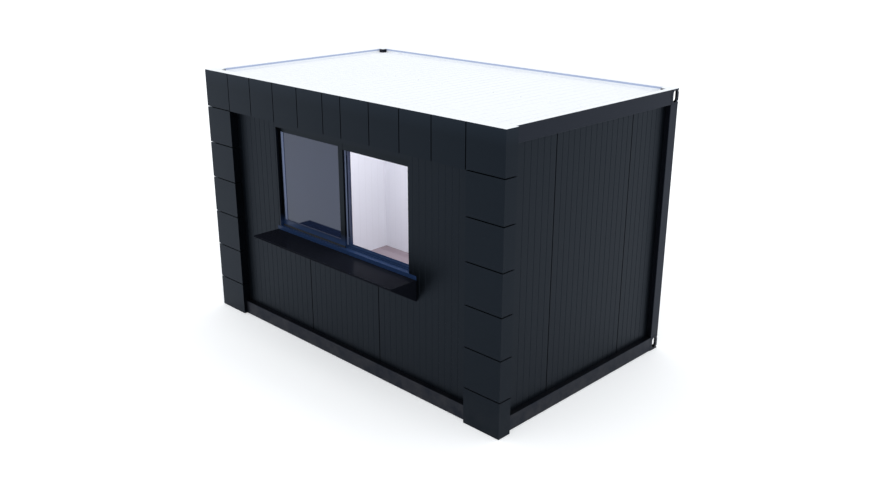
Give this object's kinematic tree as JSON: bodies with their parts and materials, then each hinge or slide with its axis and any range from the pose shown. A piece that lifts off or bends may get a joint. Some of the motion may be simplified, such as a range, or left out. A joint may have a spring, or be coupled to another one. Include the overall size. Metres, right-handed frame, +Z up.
{
  "type": "sales container",
  "caption": "Flat-roofed steel container kiosk with recessed ribbed walls, folded front cladding, a sliding serving window and a counter shelf.",
  "frame": {"origin": "centre of the bounding box's underside, on the ground", "axes": "+X along the front to the right, +Y from the front to the back, +Z up"},
  "size_m": [4.06, 2.65, 2.6],
  "materials": {
    "frame_paint": "satin anthracite powder coat",
    "cladding_paint": "satin anthracite powder coat",
    "panel_paint": "ribbed anthracite coil coating",
    "lining": "white laminated board",
    "roof_white": "white coated sheet",
    "galvanised": "galvanised",
    "floor_board": "wood-look plank",
    "window_frame": "dark powder coat",
    "seal": "pale brush seal",
    "glass": "tinted clear",
    "counter_black": "gloss black",
    "upstand_blue": "navy coated flashing",
    "door_paint": "satin anthracite powder coat",
    "door_metal": "brushed"
  },
  "bodies": {
    "root": {"back_lining": "lining", "back_wall_left": "panel_paint", "back_wall_middle": "panel_paint", "back_wall_right": "panel_paint", "bottom_rail_back": "frame_paint", "bottom_rail_front": "frame_paint", "bottom_rail_left": "frame_paint", "bottom_rail_right": "frame_paint", "ceiling_panel": "lining", "corner_castings_bottom": "frame_paint", "corner_castings_top": "frame_paint", "corner_post_back_left": "frame_paint", "corner_post_back_right": "frame_paint", "corner_post_front_left": "frame_paint", "corner_post_front_right": "frame_paint", "counter_brackets": "counter_black", "counter_top": "counter_black", "counter_upstand": "upstand_blue", "door_frame": "frame_paint", "door_handle": "door_metal", "door_hinges": "door_metal", "door_leaf": "door_paint", "fascia_cassettes": "cladding_paint", "floor_deck": "floor_board", "floor_joists": "galvanised", "floor_sheet": "galvanised", "front_lining": "lining", "front_wall_above_window": "panel_paint", "front_wall_below_window": "panel_paint", "front_wall_left": "panel_paint", "front_wall_right": "panel_paint", "inner_glass": "glass", "inner_guides": "window_frame", "inner_sash": "window_frame", "left_column_cassettes": "cladding_paint", "left_lining": "lining", "left_wall_panels": "panel_paint", "outer_glass": "glass", "outer_sash": "window_frame", "right_column_cassettes": "cladding_paint", "right_lining": "lining", "right_wall_panels": "panel_paint", "roof_capping": "roof_white", "roof_purlins": "galvanised", "roof_sheet": "roof_white", "top_rail_back": "frame_paint", "top_rail_front": "frame_paint", "top_rail_left": "frame_paint", "top_rail_right": "frame_paint", "window_reveal": "window_frame", "window_seals": "seal"}
  },
  "joints": []
}
